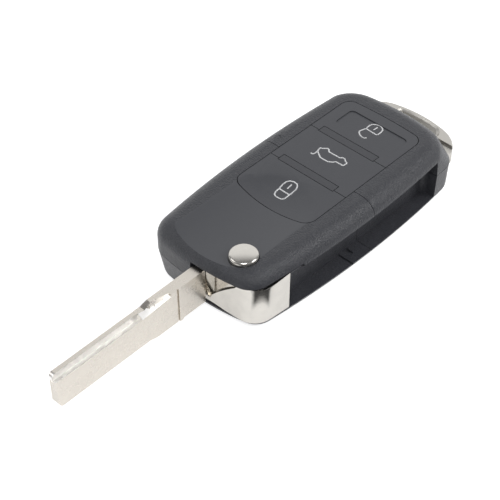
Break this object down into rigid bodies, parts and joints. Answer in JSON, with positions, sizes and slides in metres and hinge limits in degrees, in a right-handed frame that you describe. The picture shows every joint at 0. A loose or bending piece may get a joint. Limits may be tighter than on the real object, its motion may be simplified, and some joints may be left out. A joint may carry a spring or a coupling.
{
  "type": "car key remote",
  "caption": "Flip-out car key remote: dark plastic case, chrome blade carrier that swings the milled blade out of a side slot, release button, lock, boot and unlock buttons, key ring loop.",
  "frame": {"origin": "on the blade's pivot axis, in the plane of the flat underside that the key lies on", "axes": "-X towards the blade's tip, +X towards the key ring loop, -Y towards the slot that the blade folds into, +Z towards the buttons"},
  "size_m": [0.1268, 0.0376, 0.0181],
  "materials": {
    "textured_plastic": "fine spark-eroded grain, dark grey",
    "button_plastic": "smooth satin, dark grey, thin white symbols",
    "chromed_casting": "bright chrome",
    "nickelled_steel": "warm nickel plate, milled tracks",
    "plain_steel": "plain",
    "mat_rubber": "smooth dark grey rubber",
    "board_laminate": "green solder mask",
    "component_plastic": "moulded black",
    "contact_brass": "plated strip"
  },
  "bodies": {
    "case": {"head_upper_shell": "textured_plastic", "head_lower_shell": "textured_plastic", "remote_upper_shell": "textured_plastic", "remote_lower_shell": "textured_plastic", "keypad_mat": "mat_rubber", "circuit_board": "board_laminate", "lock_switch": "plain_steel", "boot_switch": "plain_steel", "unlock_switch": "plain_steel", "control_chip": "component_plastic", "resonator_can": "plain_steel", "coin_cell": "plain_steel", "battery_contact_negative": "contact_brass", "battery_contact_positive": "contact_brass", "transponder_chip": "component_plastic", "case_screw": "plain_steel", "keyring_loop": "chromed_casting"},
    "blade_unit": {"blade_carrier": "chromed_casting", "key_blade": "nickelled_steel", "blade_pin": "plain_steel", "flip_spring": "plain_steel"},
    "flip_button": {"flip_button": "chromed_casting"},
    "lock_button": {"lock_button": "button_plastic"},
    "boot_button": {"boot_button": "button_plastic"},
    "unlock_button": {"unlock_button": "button_plastic"}
  },
  "joints": [
    {"name": "blade_flip", "type": "hinge", "parent": "case", "child": "blade_unit", "pos_m": [0, 0, 0.00785], "axis": [0, 0, 1], "range_deg": [0, 180]},
    {"name": "flip_button_press", "type": "slide", "parent": "blade_unit", "child": "flip_button", "axis": [0, 0, -1], "range_m": [0, 0.002], "stiffness_N_per_m": 1200, "springref_m": -0.002, "deforming": ["flip_spring"]},
    {"name": "lock_press", "type": "slide", "parent": "case", "child": "lock_button", "axis": [0, 0, -1], "range_m": [0, 0.0005], "stiffness_N_per_m": 2000, "springref_m": -0.0005},
    {"name": "boot_press", "type": "slide", "parent": "case", "child": "boot_button", "axis": [0, 0, -1], "range_m": [0, 0.0005], "stiffness_N_per_m": 2000, "springref_m": -0.0005},
    {"name": "unlock_press", "type": "slide", "parent": "case", "child": "unlock_button", "axis": [0, 0, -1], "range_m": [0, 0.0005], "stiffness_N_per_m": 2000, "springref_m": -0.0005}
  ]
}
